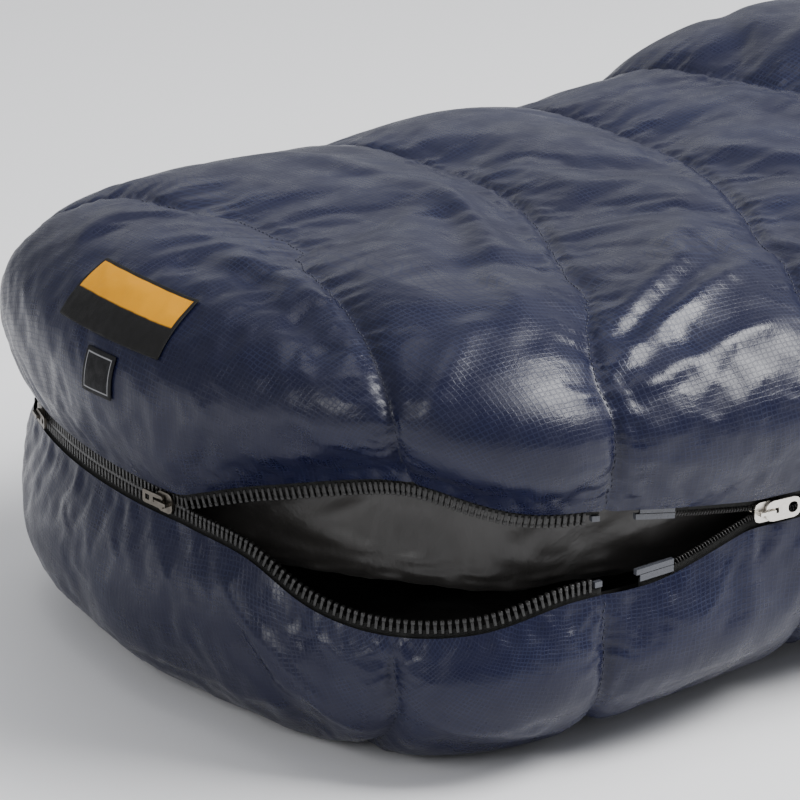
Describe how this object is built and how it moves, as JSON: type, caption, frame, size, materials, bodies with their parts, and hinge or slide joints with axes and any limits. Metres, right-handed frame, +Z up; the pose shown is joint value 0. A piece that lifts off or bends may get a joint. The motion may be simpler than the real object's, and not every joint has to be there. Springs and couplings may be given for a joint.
{
  "type": "camp quilt",
  "caption": "Tapered down-filled bag with quilted chambers, a zip round the foot and a zip up the side; opened on its far-side fold it lies flat as a camp quilt.",
  "frame": {"origin": "middle of the bag's box, on the ground it lies on", "axes": "+X from foot to mouth, +Y from the zipped side to the folded side, +Z up"},
  "size_m": [2.025, 0.7694, 0.25],
  "materials": {
    "ripstop_shell": "glossy downproof ripstop",
    "lining": "plain woven",
    "down_fill": "loose fill",
    "baffle_netting": "fine net",
    "zip_tape": "twill woven",
    "zip_teeth": "moulded",
    "zip_coil": "satin",
    "zip_film": "clear film",
    "nickel": "plated die casting",
    "gunmetal": "dark plated die casting",
    "label_cloth": "woven label",
    "tag_cloth": "woven tag"
  },
  "bodies": {
    "lower_half": {"bottom_ankle_baffle": "baffle_netting", "bottom_body_fill": "down_fill", "bottom_calf_baffle": "baffle_netting", "bottom_calf_fill": "down_fill", "bottom_foot_fill": "down_fill", "bottom_knee_baffle": "baffle_netting", "bottom_knee_fill": "down_fill", "bottom_liner": "lining", "bottom_mouth_panel": "ripstop_shell", "bottom_shell": "ripstop_shell", "bottom_shin_fill": "down_fill", "bottom_thigh_baffle": "baffle_netting", "foot_stop_lower": "zip_teeth", "foot_tape_lower": "zip_tape", "foot_teeth_lower": "zip_teeth", "side_coil_lower": "zip_coil", "side_film_lower": "zip_film", "side_pin_lower": "zip_film", "side_tape_lower": "zip_tape"},
    "top_half": {"foot_draft_tube": "lining", "foot_stop_upper": "zip_teeth", "foot_tape_upper": "zip_tape", "foot_teeth_upper": "zip_teeth", "label_patch": "label_cloth", "loop_tag": "tag_cloth", "side_coil_upper": "zip_coil", "side_draft_tube": "lining", "side_film_upper": "zip_film", "side_pin_upper": "zip_film", "side_tape_upper": "zip_tape", "top_ankle_baffle": "baffle_netting", "top_body_fill": "down_fill", "top_calf_baffle": "baffle_netting", "top_calf_fill": "down_fill", "top_foot_fill": "down_fill", "top_knee_baffle": "baffle_netting", "top_knee_fill": "down_fill", "top_liner": "lining", "top_mouth_panel": "ripstop_shell", "top_shell": "ripstop_shell", "top_shin_fill": "down_fill", "top_thigh_baffle": "baffle_netting"},
    "side_slider_foot_end": {"side_foot_end_slider": "nickel"},
    "side_pull_foot_end": {"side_foot_end_pull": "nickel"},
    "side_slider_head_end": {"side_head_end_slider": "nickel"},
    "side_pull_head_end": {"side_head_end_pull": "nickel"},
    "foot_slider_near": {"foot_near_slider": "gunmetal"},
    "foot_pull_near": {"foot_near_pull": "gunmetal"},
    "foot_slider_far": {"foot_far_slider": "gunmetal"},
    "foot_pull_far": {"foot_far_pull": "gunmetal"}
  },
  "joints": [
    {"name": "top_half_fold", "type": "hinge", "parent": "lower_half", "child": "top_half", "pos_m": [-0.89172, 0.19286, 0.1032], "axis": [-0.9948, -0.101, -0.0114], "range_deg": [0, 180]},
    {"name": "side_slider_foot_end_travel", "type": "slide", "parent": "lower_half", "child": "side_slider_foot_end", "axis": [0.9948, -0.101, 0.0114], "range_m": [0, 0.84]},
    {"name": "side_pull_foot_end_flip", "type": "hinge", "parent": "side_slider_foot_end", "child": "side_pull_foot_end", "pos_m": [-0.7913, -0.1911, 0.10436], "axis": [0.0114, -0.0012, -0.9999], "range_deg": [0, 170]},
    {"name": "side_slider_head_end_travel", "type": "slide", "parent": "lower_half", "child": "side_slider_head_end", "axis": [-0.9948, 0.101, -0.0114], "range_m": [0, 0.83]},
    {"name": "side_pull_head_end_flip", "type": "hinge", "parent": "side_slider_head_end", "child": "side_pull_head_end", "pos_m": [0.94352, -0.36718, 0.12431], "axis": [-0.0114, 0.0012, 0.9999], "range_deg": [0, 170]},
    {"name": "foot_slider_near_travel", "type": "hinge", "parent": "lower_half", "child": "foot_slider_near", "pos_m": [-0.63612, 0.00776, 0.10614], "axis": [0.0115, 0, -0.9999], "range_deg": [0, 9]},
    {"name": "foot_pull_near_flip", "type": "hinge", "parent": "foot_slider_near", "child": "foot_pull_near", "pos_m": [-0.99886, -0.01646, 0.10201], "axis": [-0.0001, 0.0008, 1], "range_deg": [0, 170]},
    {"name": "foot_slider_far_travel", "type": "hinge", "parent": "lower_half", "child": "foot_slider_far", "pos_m": [-0.63612, 0.00776, 0.10614], "axis": [-0.0115, 0, 0.9999], "range_deg": [0, 7.4]},
    {"name": "foot_pull_far_flip", "type": "hinge", "parent": "foot_slider_far", "child": "foot_pull_far", "pos_m": [-0.98222, 0.11905, 0.1022], "axis": [0.0011, 0.0034, -1], "range_deg": [0, 170]}
  ]
}
